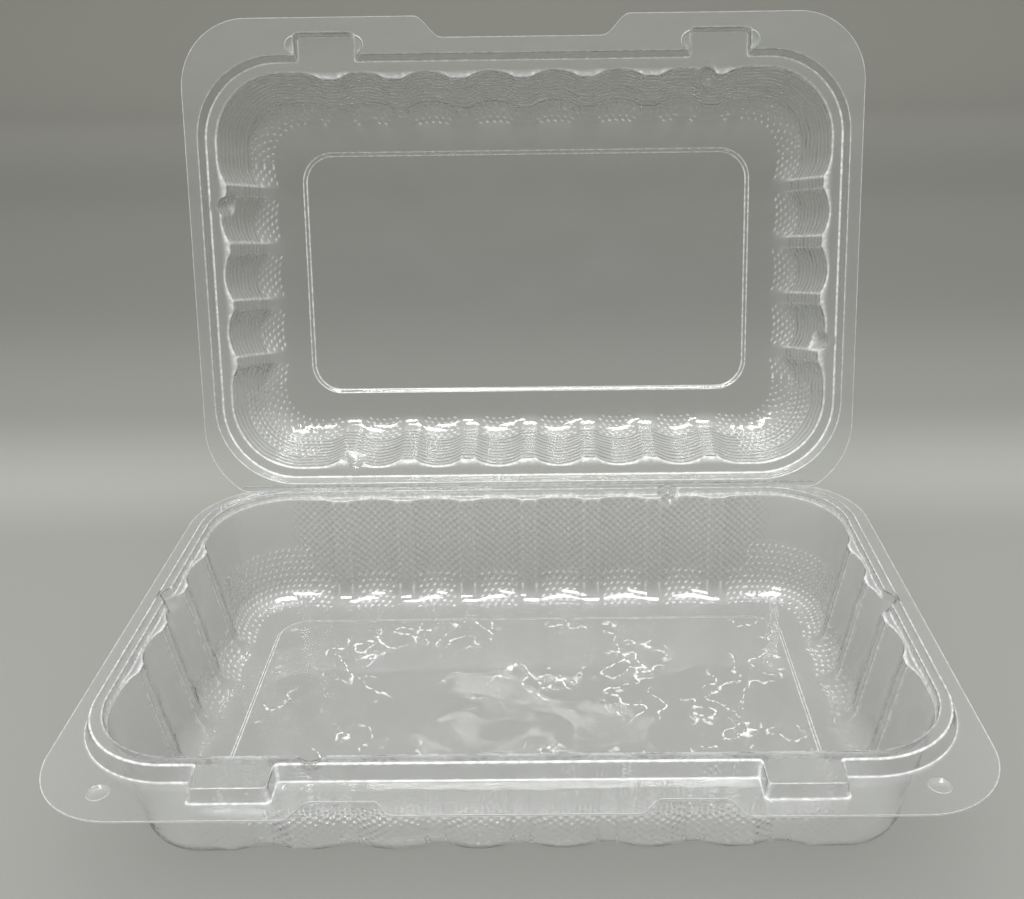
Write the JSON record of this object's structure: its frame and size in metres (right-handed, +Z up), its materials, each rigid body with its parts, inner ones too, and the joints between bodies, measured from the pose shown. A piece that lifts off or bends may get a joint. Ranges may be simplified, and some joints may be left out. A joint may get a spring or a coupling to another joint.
{
  "type": "hinged clamshell food pack",
  "caption": "Clear hinged clamshell pack: a deep fluted rectangular tray with a raised rim and a shallower fluted lid, joined by a crease and shown open.",
  "frame": {"origin": "under the middle of the open pack's outline, level with the face the tray rests on", "axes": "+Z up; +X along the crease, to the right as seen from the front; +Y back, from the latches towards the crease and the raised lid"},
  "size_m": [0.235, 0.2236, 0.196],
  "materials": {
    "clear_film": "thin clear thermoformed sheet, glossy, slightly milky"
  },
  "bodies": {
    "tray": {"tray": "clear_film"},
    "lid": {"lid": "clear_film"}
  },
  "joints": [
    {"name": "lid_crease", "type": "hinge", "parent": "tray", "child": "lid", "pos_m": [0, 0.05319, 0.0366], "axis": [-1, 0, 0], "range_deg": [-104.8, 75.2]}
  ]
}
